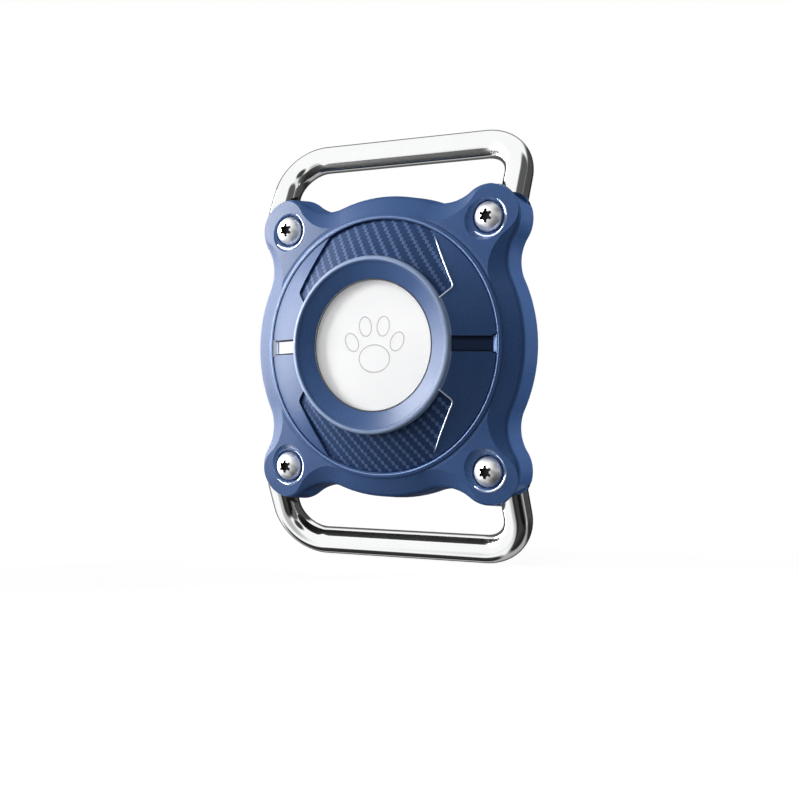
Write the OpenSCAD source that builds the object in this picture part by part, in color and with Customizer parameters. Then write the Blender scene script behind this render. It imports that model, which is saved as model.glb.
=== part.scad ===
// Tracker tag holder: a two-part case with four corner ears and two wire loops for webbing.
// Inside the modules x runs across, y up and z out of the front; place() turns the front to -Y and up to +Z.
// Depths (names ending in _d) are measured backwards from the front edge of the window.

/* [Tag inside] */
// Diameter of the round tracker tag
tag_dia = 31.9; // [31:0.1:33]
// Thickness of the tag
tag_t = 8; // [7.6:0.1:8.6]
// Wall of the tag's shell
tag_wall = 1; // [0.8:0.1:1.2]
// Diameter of the coin cell
cell_dia = 20; // [18:0.1:20.5]
// Thickness of the coin cell
cell_t = 3.2; // [2.6:0.1:3.3]
// Thickness of the tag's circuit board
board_t = 0.8; // [0.6:0.1:1]
// Outer diameter of the speaker coil
coil_dia = 10.7; // [10:0.1:11.2]
// Width of the coil's winding
coil_w = 0.6; // [0.4:0.05:0.8]
// Thickness of the speaker magnet
magnet_t = 1.5; // [1.2:0.1:1.7]

/* [Case outline] */
// Radius of the round middle of the case at its shoulder
case_r = 25.5; // [24.8:0.1:28]
// Distance between the left and right screws
screws_x = 38.3; // [37:0.1:40]
// Distance between the upper and lower screws
screws_z = 41.6; // [40.5:0.1:43]
// Radius of each corner ear at its shoulder
ear_r = 5.5; // [5.4:0.1:6]
// Radius of the hollow curves between ear and middle
web_r = 7.8; // [7:0.1:9]
// How much wider the case gets from shoulder to joint, on each side
side_flare = 0.45; // [0.2:0.05:0.6]
// Depth of the shoulder line
shoulder_d = 4.7; // [4.5:0.1:5]
// Width of the sloping edge round the front
edge_w = 3.1; // [2.6:0.1:3.3]
// Height of the sloping edge
edge_h = 1.55; // [1.4:0.05:1.7]
// Radius of the shallow crown over the ears
crown_r = 185; // [150:5:260]
// Thickness of the back cover
back_t = 3.3; // [3.1:0.1:4]
// Inset of the flat back from the shoulder outline
back_inset = 3; // [2.6:0.1:3.2]

/* [Dial and window] */
// Radius of the window opening
window_r = 11.1; // [10:0.1:11.4]
// Outer radius of the funnel round the window
funnel_r = 13.8; // [13:0.1:14.2]
// Height of the funnel's outer edge
funnel_h = 1.1; // [0.8:0.1:1.3]
// Height of the raised lip round the funnel
lip_h = 1.25; // [1.1:0.05:1.6]
// Width of the lip
lip_w = 1.1; // [0.9:0.1:1.4]
// Depth of the dial at its outer edge
dial_d = 2.8; // [2.6:0.1:2.9]
// Width of the groove and rounded rail round the dial
bevel_w = 1.2; // [1.1:0.1:1.4]
// Drop of the rail at its outer edge
bevel_drop = 0.5; // [0.45:0.05:0.7]
// Distance from the rail's foot to the shoulder line
surround_w = 3; // [2.8:0.1:3.4]
// Width of the narrow groove between dial and rail
groove_w = 0.2; // [0.15:0.01:0.3]
// Depth of that groove under the dial's edge
groove_drop = 0.4; // [0.3:0.05:0.5]
// Thickness of the clear window
lens_t = 0.6; // [0.4:0.1:0.8]
// Thickness of the sealing ring between ledge and window
lens_seal_t = 0.15; // [0.1:0.05:0.25]
// Ledge of plastic in front of the window
ledge_t = 0.35; // [0.3:0.05:0.5]
// Overlap of window and ledge
lens_grip = 1.6; // [1.2:0.1:1.8]

/* [Panels and slots] */
// Half width of a textured panel at its outer edge
panel_top_x = 10; // [9:0.1:11]
// Half width of a panel at its widest corner
panel_corner_x = 14.75; // [14.4:0.05:15.2]
// Height of that corner above the middle
panel_corner_z = 9.3; // [8.8:0.1:9.8]
// Depth of a panel's recess
panel_depth = 1.15; // [0.9:0.05:1.3]
// Thickness of a textured panel
panel_t = 0.5; // [0.3:0.05:0.6]
// Width of the slots left and right of the window
slot_w = 2.6; // [2.2:0.1:3]
// Depth of a slot
slot_depth = 0.95; // [0.8:0.05:1.1]
// Thickness of the gloss strip in a slot
strip_t = 0.35; // [0.25:0.05:0.45]
// Length of the sloping end of a slot
slot_ramp = 0.65; // [0.5:0.05:0.8]

/* [Screws] */
// Diameter of a screw head
head_dia = 4.95; // [4.7:0.05:5.1]
// Height of a screw head
head_h = 2.1; // [1.9:0.1:2.2]
// Depth of the top of a screw head
head_d = 3; // [2.9:0.1:3.2]
// Diameter of the screw's thread
screw_dia = 2.4; // [2.3:0.05:2.5]
// Length of a screw under its head
screw_l = 6; // [5.5:0.1:6.2]
// Width across the screw's six-lobed socket
socket_w = 2.3; // [2:0.1:2.4]
// Diameter of the hole round a screw head
headhole_dia = 5.65; // [5.4:0.05:5.8]
// Diameter of the countersink at the surface of the ear
sink_dia = 7; // [6.8:0.1:7.2]
// Plastic under a screw head
seat_t = 1; // [0.9:0.1:1.2]
// Outer diameter of the brass threaded inserts
insert_dia = 3.5; // [3.2:0.1:3.8]
// Length of the inserts
insert_l = 3.4; // [3:0.1:3.5]

/* [Loops] */
// Radius of the loop wire
wire_r = 2.4; // [2:0.05:2.5]
// Distance from a screw out to the loop's leg
leg_offset = 3.35; // [3:0.05:3.6]
// Reach of a loop's bar above the screws, on the level
bar_rise = 13.5; // [12.5:0.1:16]
// Backward lean of the loops, in degrees
loop_lean = 25; // [15:1:28]
// Bend radius at the middle of the wire
bend_r = 6.9; // [6:0.1:8]
// Thickness of the flattened eye under each screw
eye_t = 1.8; // [1.6:0.1:2]
// Radius of the eye
eye_r = 2.6; // [2.3:0.1:2.7]
// Width of the arm from the eye to the leg
eye_arm_w = 2.2; // [1.6:0.1:2.2]

/* [Seals and pad] */
// Cord diameter of the main seal
seal_dia = 1.2; // [1:0.1:1.4]
// Thickness of the foam pad behind the tag
pad_t = 1; // [0.8:0.1:1.2]

/* [Hidden] */
$fn = 96;

gap = 0.05;
fit_gap = 0.2;
over = 1;

ear_x = screws_x / 2;
ear_y = screws_z / 2;
dial_r = case_r - surround_w - bevel_w;
bevel_r = dial_r + bevel_w;
lip_r = funnel_r + lip_w;
lip_foot = lip_h - 0.5;
dial_slope = (lip_foot + dial_d) / (dial_r - lip_r);

tag_r = tag_dia / 2;
lens_d = ledge_t + lens_seal_t;
tag_face_d = lens_d + lens_t + gap;
tag_flat_r = window_r + 0.7;
tag_round_h = 0.4 * tag_t;
tag_back_d = tag_face_d + tag_t;
joint_d = tag_back_d + 0.25;
back_d = joint_d + back_t;
cavity_r = tag_r + fit_gap;
lens_r = window_r + lens_grip;

seat_d = head_d + head_h;
eye_front_d = seat_d + seat_t;
eye_back_d = eye_front_d + eye_t;
boss_d = eye_back_d + gap;
insert_d = boss_d + 0.25;
bore_r = screw_dia / 2 + gap;
hole_r = screw_dia / 2 + 0.15;
screw_seal_r = 0.3;
screw_seal_at = screw_dia / 2 + 0.1 + screw_seal_r;

pocket_r = ear_r - 0.65;
leg_x = ear_x + leg_offset;
leg_foot_y = ear_y + 2.85;
leg_foot_d = eye_back_d - 0.65;
bar_y = ear_y + bar_rise;
// Rounded, so that the bends and the straight wire between them meet exactly
loop_reach = round(100 * (bar_y - leg_foot_y) / cos(loop_lean)) / 100;
bar_d = leg_foot_d + (bar_y - leg_foot_y) * tan(loop_lean);
loop_back_d = bar_d + wire_r;

seal_wall = 1.1;
seal_groove_w = seal_dia + 0.3;
seal_r = cavity_r + seal_wall + seal_groove_w / 2;
relief_in = seal_r + seal_groove_w / 2 + seal_wall;
relief_out = case_r - 1.9;
relief_d = shoulder_d + 0.8;
pad_r = tag_r - 2.15;

// Offset and depth of the case outline, from the joint up to the top of the sloping edge
front_edge = [[side_flare, joint_d], [0.03, shoulder_d + 0.3], [-0.1, shoulder_d],
    [-0.45, shoulder_d - 0.25], [-edge_w, shoulder_d - edge_h]];
// The same for the back cover, from the flat back up to the joint
back_edge = [[-back_inset, back_d], [-0.7 * back_inset, back_d - 0.09 * back_t],
    [-0.43 * back_inset, back_d - 0.3 * back_t], [0.1, joint_d + 0.17 * back_t],
    [side_flare - 0.05, joint_d]];

function arc_points(c, r, from, to, steps) =
    [for (i = [0 : steps]) let (a = from + (to - from) * i / steps) c + r * [cos(a), sin(a)]];
function unit(v) = v / norm(v);
function short_turn(a) = a > 180 ? a - 360 : (a < -180 ? a + 360 : a);
// Points of an arc of radius r that rounds the corner b between a and c
function rounded_corner(a, b, c, r, steps) =
    let (u = unit(a - b), v = unit(c - b), half = acos(u * v) / 2,
        m = b + unit(u + v) * r / sin(half),
        p = b + u * r / tan(half) - m, q = b + v * r / tan(half) - m,
        start = atan2(p[1], p[0]), turn = short_turn(atan2(q[1], q[0]) - start))
    arc_points(m, r, start, start + turn, steps);
// Where the line from p towards q crosses the circle of radius r round the middle
function on_circle(p, q, r) =
    let (u = unit(q - p), b = p * u, s = sqrt(b * b - p * p + r * r)) p + u * (s - b);
function dial_z(r) = lip_foot - (r - lip_r) * dial_slope;
// The rounded edge of the tag's face, grown by a clearance, from the face out to the side
function tag_edge(grow) = [for (i = [0 : 8]) let (a = 90 - 90 * i / 8)
    [tag_flat_r + (tag_r - tag_flat_r + grow) * cos(a),
        -tag_face_d - tag_round_h + (tag_round_h + grow) * sin(a)]];

module place() {
    translate([0, (lip_h - loop_back_d) / 2, 0]) rotate([90, 0, 0]) children();
}

module at_ears() {
    for (sx = [-1, 1], sy = [-1, 1]) translate([sx * ear_x, sy * ear_y, 0]) children();
}

module turned(points) {
    rotate_extrude() polygon(points);
}

module ring(r_in, r_out, front_d, rear_d) {
    turned([[r_in, -front_d], [r_out, -front_d], [r_out, -rear_d], [r_in, -rear_d]]);
}

module disc(r, front_d, rear_d) {
    translate([0, 0, -rear_d]) cylinder(r = r, h = rear_d - front_d);
}

// Solid with the case's outline, whose edge follows a list of offsets and depths.
// The hollow curves bite a hair into the round ones, so that their surfaces cross instead of just touching.
module lobed(edge) {
    low = edge[0][1];
    top = edge[len(edge) - 1][1];
    reach = norm([ear_x, ear_y]);
    big = case_r + web_r;
    small = ear_r + web_r;
    hollow = web_r + 0.02;
    along = (big * big - small * small + reach * reach) / (2 * reach);
    aside = sqrt(big * big - along * along);
    hub = [for (side = [-1, 1]) [along, side * aside]];
    turned(concat([[0, -low]], [for (p = edge) [case_r + p[0], -p[1]]], [[0, -top]]));
    at_ears() turned(concat([[0, -low]], [for (p = edge) [ear_r + p[0], -p[1]]], [[0, -top]]));
    for (sx = [-1, 1], sy = [-1, 1]) scale_flip(sx, sy) rotate([0, 0, atan2(ear_y, ear_x)])
        difference() {
            translate([0, 0, -low]) linear_extrude(low - top)
                polygon([[0, 0], hub[0], [reach, 0], hub[1]]);
            for (h = hub) translate([h[0], h[1], 0])
                turned(concat([[0, -low - over], [hollow - edge[0][0], -low - over]],
                    [for (p = edge) [hollow - p[0], -p[1]]],
                    [[hollow - edge[len(edge) - 1][0], -top + over], [0, -top + over]]));
        }
}

module scale_flip(sx, sy) {
    mirror([sx < 0 ? 1 : 0, 0, 0]) mirror([0, sy < 0 ? 1 : 0, 0]) children();
}

// Moves a loop's flat shape, drawn upwards from the feet of its legs, to its leaning place
module on_lean() {
    translate([0, leg_foot_y, -leg_foot_d]) rotate([-loop_lean, 0, 0]) children();
}

// The space of the legs of both loops, with a way out backwards where depth is more than 0
module leg_spaces(depth) {
    r = wire_r + gap;
    for (turn = [0, 180], sx = [-1, 1]) rotate([0, 0, turn]) on_lean() translate([sx * leg_x, -gap, 0]) {
        rotate([-90, 0, 0]) cylinder(r = r, h = 15);
        if (depth > 0) translate([-r, 0, -depth]) cube([2 * r, 15, depth]);
    }
}

function panel_outline(shrink) =
    let (r = dial_r + 0.6 * groove_w - shrink,
        corner = [panel_corner_x - shrink, panel_corner_z],
        tip = on_circle(corner, [panel_top_x - shrink, sqrt(dial_r * dial_r - panel_top_x * panel_top_x)], r),
        foot = corner - 1.25 * (panel_corner_x - lip_r * cos(30)) * [1, 1] - [0.6, 0.6],
        sweep = atan2(tip[1], tip[0]),
        rim = arc_points([0, 0], r, sweep + 3, 90, 12),
        half = concat([foot], rounded_corner(foot, corner, tip, 0.8, 4),
            rounded_corner(corner, tip, rim[0], 0.5, 4), rim))
    concat(half, [for (i = [len(half) - 2 : -1 : 0]) [-half[i][0], half[i][1]]]);

module panel_shape(shrink, front, rear) {
    inner = lip_r + shrink;
    outer = dial_r + groove_w;
    intersection() {
        turned([[inner, dial_z(inner) - rear], [outer, dial_z(outer) - rear],
            [outer, dial_z(outer) - front], [inner, dial_z(inner) - front]]);
        translate([0, 0, -dial_d - 3]) linear_extrude(10) polygon(panel_outline(shrink));
    }
}

// A slice of the dial along a slot, between two depths under its surface
module slot_slice(half_w, from, to, front, rear) {
    rotate([90, 0, 0]) linear_extrude(2 * half_w, center = true)
        polygon([[from, dial_z(from) - rear], [to, dial_z(to) - rear],
            [to, dial_z(to) - front], [from, dial_z(from) - front]]);
}

module slot_cut() {
    to = dial_r + 0.5 * groove_w;
    from = to - slot_ramp;
    slot_slice(slot_w / 2, lip_r, from, -1, slot_depth);
    rotate([90, 0, 0]) linear_extrude(slot_w + 0.5, center = true)
        polygon([[from, dial_z(from) - slot_depth], [to, dial_z(to)], [to, dial_z(to) + 1],
            [from, dial_z(from) + 1]]);
}

module front_cover() {
    lip_curve = arc_points([lip_r - 0.55, lip_foot - 0.05], 0.55, 0, 90, 4);
    crown_top = shoulder_d - edge_h - 0.05;
    crown_rise = crown_r - sqrt(crown_r * crown_r - bevel_r * bevel_r);
    sink_d = head_d + 0.85;
    sink_r = sink_dia / 2;
    bore = headhole_dia / 2;
    color("royalblue") place() difference() {
        union() {
            intersection() {
                lobed(front_edge);
                translate([0, 0, -crown_top + crown_rise - crown_r]) sphere(r = crown_r, $fn = 200);
            }
            turned(concat([[0, -joint_d + over], [bevel_r, -joint_d + over],
                [bevel_r, -dial_d - bevel_drop], [bevel_r - 0.1, -dial_d - 0.55 * bevel_drop],
                [bevel_r - 0.3, -dial_d - 0.2 * bevel_drop],
                [bevel_r - 0.55, -dial_d - 0.02 * bevel_drop],
                [dial_r + groove_w, -dial_d + 0.1 * bevel_drop], [dial_r, -dial_d]],
                [[lip_r, lip_foot - 0.05]], lip_curve,
                [[funnel_r + 0.08, lip_h - 0.02], [funnel_r, funnel_h], [0, funnel_h]]));
        }
        turned([[dial_r, 0], [dial_r, -dial_d - groove_drop],
            [dial_r + groove_w, -dial_d - groove_drop], [dial_r + groove_w, 0]]);
        turned([[0, -ledge_t - over], [window_r, -ledge_t - over], [window_r, -0.1],
            [window_r + 0.1, 0], [funnel_r, funnel_h], [funnel_r, lip_h + over], [0, lip_h + over]]);
        disc(lens_r + gap, ledge_t, joint_d);
        turned(concat([[0, -tag_face_d + fit_gap]], tag_edge(fit_gap),
            [[cavity_r, -joint_d - over], [0, -joint_d - over]]));
        ring(relief_in, relief_out, relief_d, joint_d + over);
        for (a = [0, 180]) rotate([0, 0, a]) {
            panel_shape(0, -1, panel_depth);
            slot_cut();
        }
        at_ears() {
            turned([[0, -seat_d], [bore, -seat_d], [bore, -sink_d - (sink_r - bore)],
                [sink_r, -sink_d], [sink_r + over, -sink_d + over], [0, -sink_d + over]]);
            disc(hole_r, head_d, joint_d);
            disc(screw_seal_at + screw_seal_r + gap, seat_d - gap, seat_d + 2 * screw_seal_r);
            disc(pocket_r, eye_front_d - gap, joint_d + over);
        }
        leg_spaces(back_d);
    }
}

module back_cover() {
    pad_floor = joint_d - 0.2 + pad_t;
    color("royalblue") place() difference() {
        union() {
            lobed(back_edge);
            at_ears() disc(pocket_r - 0.15, boss_d, joint_d + 0.5);
        }
        ring(seal_r - seal_groove_w / 2, seal_r + seal_groove_w / 2, joint_d - over,
            joint_d + seal_dia + gap);
        ring(relief_in, relief_out, joint_d - over, joint_d + 0.9);
        disc(pad_r + 0.1, joint_d - over, pad_floor);
        at_ears() {
            disc(hole_r, boss_d - over, back_d - 0.9);
            disc(insert_dia / 2, insert_d, insert_d + insert_l);
            disc(insert_dia / 2 + 0.15, boss_d - over, insert_d);
        }
        leg_spaces(0);
    }
}

module window_lens() {
    rim = 0.1;
    rear = lens_d + lens_t;
    color("white") place() turned([[0, -rear], [lens_r - rim, -rear], [lens_r, -rear + rim],
        [lens_r, -lens_d], [0, -lens_d]]);
}

module lens_gasket() {
    color("dimgray") place() ring(window_r + 0.2, lens_r - 0.1, ledge_t, lens_d);
}

module grip_panel(turn) {
    color("steelblue") place() rotate([0, 0, turn])
        panel_shape(0.08, panel_depth - panel_t, panel_depth);
}

module upper_grip_panel() {
    grip_panel(0);
}

module lower_grip_panel() {
    grip_panel(180);
}

module accent_strip(turn) {
    color("midnightblue") place() rotate([0, 0, turn])
        slot_slice(slot_w / 2 - gap, lip_r + gap, dial_r - slot_ramp,
            slot_depth - strip_t, slot_depth);
}

module right_accent_strip() {
    accent_strip(0);
}

module left_accent_strip() {
    accent_strip(180);
}

module main_seal() {
    color("black") place() rotate_extrude()
        translate([seal_r, -joint_d - seal_dia / 2 - gap / 2]) circle(d = seal_dia);
}

module thread_inserts() {
    color("goldenrod") place() at_ears() difference() {
        union() {
            ring(bore_r, insert_dia / 2, insert_d, insert_d + 0.35 * insert_l);
            ring(bore_r, insert_dia / 2 - 0.2, insert_d + 0.35 * insert_l, insert_d + 0.55 * insert_l);
            ring(bore_r, insert_dia / 2, insert_d + 0.55 * insert_l, insert_d + insert_l);
        }
        translate([0, 0, -insert_d - 0.15]) cylinder(r1 = bore_r, r2 = bore_r + 0.3, h = 0.2);
    }
}

module wire_loop() {
    run = leg_x - bend_r;
    straight = loop_reach - bend_r;
    color("silver") {
        on_lean() {
            for (sx = [-1, 1]) {
                translate([sx * leg_x, 0, 0]) rotate([-90, 0, 0]) cylinder(r = wire_r, h = straight);
                translate([sx * run, straight, 0]) rotate([0, 0, sx > 0 ? 0 : 90])
                    rotate_extrude(angle = 90) translate([bend_r, 0]) circle(r = wire_r);
            }
            translate([0, loop_reach, 0]) rotate([0, 90, 0])
                cylinder(r = wire_r, h = 2 * run, center = true);
        }
        for (sx = [-1, 1]) translate([0, 0, -eye_back_d]) linear_extrude(eye_t) difference() {
            union() {
                translate([sx * ear_x, ear_y]) circle(r = eye_r);
                translate([sx * (leg_x - 0.8), (ear_y + leg_foot_y + 1.2) / 2])
                    square([eye_arm_w, leg_foot_y + 1.2 - ear_y], center = true);
            }
            translate([sx * ear_x, ear_y]) circle(r = hole_r);
        }
    }
}

module upper_loop() {
    place() wire_loop();
}

module lower_loop() {
    place() mirror([0, 1, 0]) wire_loop();
}

module screw(sx, sy) {
    dome_r = 2.75;
    dome_d = head_d + dome_r;
    lobe_r = 0.27;
    socket_d = head_d + 1.2;
    color("gainsboro") place() translate([sx * ear_x, sy * ear_y, 0]) difference() {
        union() {
            intersection() {
                disc(head_dia / 2, head_d - over, seat_d);
                translate([0, 0, -dome_d]) sphere(r = dome_r);
            }
            disc(screw_dia / 2, seat_d - 0.5, seat_d + screw_l - 0.4);
            translate([0, 0, -seat_d - screw_l])
                cylinder(r1 = screw_dia / 2 - 0.4, r2 = screw_dia / 2, h = 0.4);
        }
        translate([0, 0, -socket_d]) linear_extrude(head_h) union() {
            circle(r = 0.34 * socket_w);
            for (a = [30 : 60 : 330]) rotate(a) translate([socket_w / 2 - lobe_r, 0]) circle(r = lobe_r);
        }
    }
}

module screw_upper_left() {
    screw(-1, 1);
}

module screw_upper_right() {
    screw(1, 1);
}

module screw_lower_left() {
    screw(-1, -1);
}

module screw_lower_right() {
    screw(1, -1);
}

module screw_seals() {
    color("black") place() at_ears() rotate_extrude()
        translate([screw_seal_at, -seat_d - screw_seal_r - gap / 2]) circle(r = screw_seal_r - gap / 2);
}

module tag_cushion() {
    color("darkgray") place() ring(pad_r - 4.6, pad_r, joint_d - 0.2, joint_d - 0.2 + pad_t);
}

// Depths inside the tag, from its face back
shell_in_d = tag_face_d + tag_wall;
cover_d = tag_back_d - 0.6;
cell_front_d = cover_d - gap - cell_t;
deck_d = cell_front_d - gap - 0.6;
frame_r = tag_r - tag_wall - gap;
rim_d = tag_face_d + 0.7 * tag_t;
cover_r = cell_dia / 2 + 2.5;
cover_twist = 20;

module tag_shell() {
    outside = tag_edge(0);
    inside = tag_edge(-tag_wall);
    color("white") place() turned(concat([[0, -tag_face_d]], outside, [[tag_r, -rim_d],
        [tag_r - tag_wall, -rim_d]], [for (i = [len(inside) - 1 : -1 : 0]) inside[i]],
        [[0, -shell_in_d]]));
}

module tag_inner_frame() {
    groove_r = cover_r + 0.75;
    groove_front = cover_d - 0.95;
    groove_back = cover_d - 0.25;
    color("whitesmoke") place() difference() {
        union() {
            disc(frame_r, deck_d, rim_d + gap);
            turned([[0, -rim_d - gap], [tag_r, -rim_d - gap], [tag_r - 0.3, -tag_back_d + 1],
                [tag_r - 1.1, -tag_back_d + 0.3], [cover_r + 0.9, -tag_back_d], [0, -tag_back_d]]);
        }
        disc(cell_dia / 2 + 0.15, cell_front_d - gap, tag_back_d + over);
        disc(cover_r + 0.1, cover_d - 1.1, tag_back_d + over);
        ring(cover_r, groove_r, groove_front, groove_back);
        for (a = [0 : 120 : 240]) rotate([0, 0, a - cover_twist]) translate([cover_r, 0, -tag_back_d])
            cube([1.5, 3.4, 2.2], center = true);
        for (a = [0 : 120 : 240]) rotate([0, 0, a + 90]) translate([0.35 * cell_dia, 0, -deck_d])
            cube([3.2, 1.4, 4], center = true);
    }
}

module tag_circuit_board() {
    color("darkgreen") place() ring(coil_dia / 2 + 0.25, frame_r - 0.6, deck_d - board_t, deck_d);
}

module tag_speaker_magnet() {
    color("dimgray") place() disc(coil_dia / 2 - coil_w - 0.25, deck_d - magnet_t, deck_d);
}

module tag_speaker_coil() {
    color("peru") place() ring(coil_dia / 2 - coil_w, coil_dia / 2, shell_in_d, deck_d - 0.3);
}

module tag_contacts() {
    color("gold") place() for (a = [0 : 120 : 240]) rotate([0, 0, a + 90])
        translate([0.35 * cell_dia, 0, -deck_d - 0.3]) cube([3, 1.2, 0.6], center = true);
}

module coin_cell() {
    r = cell_dia / 2;
    rear = cell_front_d + cell_t;
    color("silver") place() turned([[0, -cell_front_d], [r - 1.2, -cell_front_d],
        [r - 1.2, -cell_front_d - 0.3], [r - 0.2, -cell_front_d - 0.3], [r, -cell_front_d - 0.6],
        [r, -rear + 0.2], [r - 0.2, -rear], [0, -rear]]);
}

module tag_battery_cover() {
    skirt = 0.9;
    color("lightgray") place() difference() {
        union() {
            turned([[0, -cover_d], [cover_r - 0.3, -cover_d], [cover_r - 0.3, -cover_d + skirt],
                [cover_r, -cover_d + skirt], [cover_r, -tag_back_d + 0.2],
                [cover_r - 0.3, -tag_back_d], [0, -tag_back_d]]);
            for (a = [0 : 120 : 240]) rotate([0, 0, a]) intersection() {
                ring(cover_r - 0.2, cover_r + 0.65, cover_d - 0.85, cover_d - 0.35);
                translate([cover_r, 0, -cover_d]) cube([3, 2.8, 3], center = true);
            }
        }
    }
}

front_cover();
back_cover();
window_lens();
lens_gasket();
upper_grip_panel();
lower_grip_panel();
left_accent_strip();
right_accent_strip();
main_seal();
thread_inserts();
upper_loop();
lower_loop();
screw_upper_left();
screw_upper_right();
screw_lower_left();
screw_lower_right();
screw_seals();
tag_cushion();
tag_shell();
tag_inner_frame();
tag_circuit_board();
tag_speaker_coil();
tag_speaker_magnet();
tag_contacts();
coin_cell();
tag_battery_cover();
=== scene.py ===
# %% [markdown]
# # A strap-mounted case for a round tracker tag
# The case is two plastic mouldings that clamp a round tag behind a clear window.
# Four screws hold it shut, and two bent wire loops carry a strap.
# The solids come packed from CAD and never move here. This lesson gives each of them
# the finish of the real thing, and adds the small shapes that CAD leaves out.

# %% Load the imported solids
import math

import bpy
from mathutils import Matrix, Vector


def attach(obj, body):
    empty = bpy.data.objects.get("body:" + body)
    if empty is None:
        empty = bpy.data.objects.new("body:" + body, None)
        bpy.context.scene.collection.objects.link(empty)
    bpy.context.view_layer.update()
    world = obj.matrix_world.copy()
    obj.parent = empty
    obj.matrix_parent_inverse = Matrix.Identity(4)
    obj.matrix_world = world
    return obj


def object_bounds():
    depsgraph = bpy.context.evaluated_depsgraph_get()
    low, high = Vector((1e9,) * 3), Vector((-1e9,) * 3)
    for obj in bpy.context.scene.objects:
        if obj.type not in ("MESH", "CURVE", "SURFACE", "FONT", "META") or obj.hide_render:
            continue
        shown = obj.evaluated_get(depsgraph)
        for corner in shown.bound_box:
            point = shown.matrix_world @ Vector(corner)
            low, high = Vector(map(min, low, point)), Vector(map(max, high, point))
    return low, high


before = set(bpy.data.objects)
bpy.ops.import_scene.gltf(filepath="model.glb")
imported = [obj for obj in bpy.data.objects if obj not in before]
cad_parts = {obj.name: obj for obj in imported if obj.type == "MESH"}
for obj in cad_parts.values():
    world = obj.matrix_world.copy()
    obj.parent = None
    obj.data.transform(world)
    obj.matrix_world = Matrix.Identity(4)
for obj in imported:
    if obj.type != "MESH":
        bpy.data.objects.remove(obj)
cad_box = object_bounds()
print("CAD nodes:", len(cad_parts), "box in metres:", cad_box)

# %% [markdown]
# ## Sizes that the solids share
# The small pieces and some of the shading follow the solids, so they need a few of their
# sizes, in millimetres. The radii and depths that a box doesn't show are written down as
# in the part's source, where a depth counts backwards from the window's front edge. Where
# that edge and the screws are could be typed in as well, but then nothing would follow if
# the solids changed, so we measure both on the solids' own boxes.

# %% Sizes
FUNNEL_R, LIP_R, DIAL_R = 13.8, 14.9, 21.3
LIP_TOP_D, LIP_FOOT_D, DIAL_EDGE_D = -1.25, -0.75, 2.8
DIAL_SLOPE = (DIAL_EDGE_D - LIP_FOOT_D) / (DIAL_R - LIP_R)
DEPTH_TO_Y = round(cad_box[0][1] * 1000 - LIP_TOP_D, 3)


def node_middle(node_name):
    """The middle of a CAD node's box, across and up, in millimetres."""
    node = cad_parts[node_name]
    corners = [node.matrix_world @ Vector(corner) for corner in node.bound_box]
    return tuple(round(500 * (min(c[axis] for c in corners) + max(c[axis] for c in corners)), 2)
                 for axis in (0, 2))


screw_at = {(vertical, horizontal): node_middle(f"screw_{vertical}_{horizontal}")
            for vertical in ("upper", "lower") for horizontal in ("left", "right")}
print("depth 0 is at Y", DEPTH_TO_Y, "mm; screws at", screw_at)

# %% [markdown]
# ## Where the camera stands
# The window's circle shows as an ellipse and the four screws as a skewed rectangle.
# Together they say that the camera stood 28 degrees to the right, level with the case,
# only 0.2 m away. We could aim a camera by hand, but a matrix of three directions puts
# it there exactly: to the right, up, and backwards.

# %% Camera
camera_turn, camera_tilt, camera_roll = (math.radians(a) for a in (27.57, -0.22, 0.14))
level_right = Vector((math.cos(camera_turn), math.sin(camera_turn), 0))
ahead = Vector((-math.sin(camera_turn) * math.cos(camera_tilt),
                math.cos(camera_turn) * math.cos(camera_tilt), -math.sin(camera_tilt)))
level_up = level_right.cross(ahead)
right = level_right * math.cos(camera_roll) + level_up * math.sin(camera_roll)
up = level_up * math.cos(camera_roll) - level_right * math.sin(camera_roll)
camera = bpy.data.objects.new("camera", bpy.data.cameras.new("camera"))
bpy.context.scene.collection.objects.link(camera)
camera.matrix_world = Matrix((right, up, -ahead)).transposed().to_4x4()
camera.location = (0.10101, -0.190243, -0.00983)
camera.data.sensor_fit = "HORIZONTAL"
camera.data.sensor_width = 36
camera.data.lens = 56.709
camera.data.clip_start = 0.01
bpy.context.scene.camera = camera
bpy.context.scene.view_settings.view_transform = "Standard"
print("camera at", tuple(camera.location), "lens", camera.data.lens, "mm")

# %% [markdown]
# ## Lamps
# Flat front faces are well lit, slopes that face left have a pale sheen, slopes that face
# right are nearly black, and the side wall on the right is lit again. One lamp for both
# light and sheen would do, but when it is bright enough for the sheen it washes out the
# plain faces. So each lamp here has one task. Three softboxes light plain surfaces and
# are hidden from mirrors: the main one at the upper left, a weak one high in front, and
# one at the right, behind the case, where it only reaches the side wall. Two strips, on
# the left and further round, are seen by mirrors only.
# An area lamp's power for a given brightness grows with the square of its distance, so
# we say how bright a surface facing it should be, where 1 shows a colour about as it is
# written, and let a helper work out the watts.

# %% Softboxes and strips
LAMP_DISTANCE = 0.6


def direction_to(azimuth, elevation):
    """The direction from the case to an azimuth, where 0 is the front and +90 the right."""
    a, e = math.radians(azimuth), math.radians(elevation)
    return Vector((math.sin(a) * math.cos(e), -math.cos(a) * math.cos(e), math.sin(e)))


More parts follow.
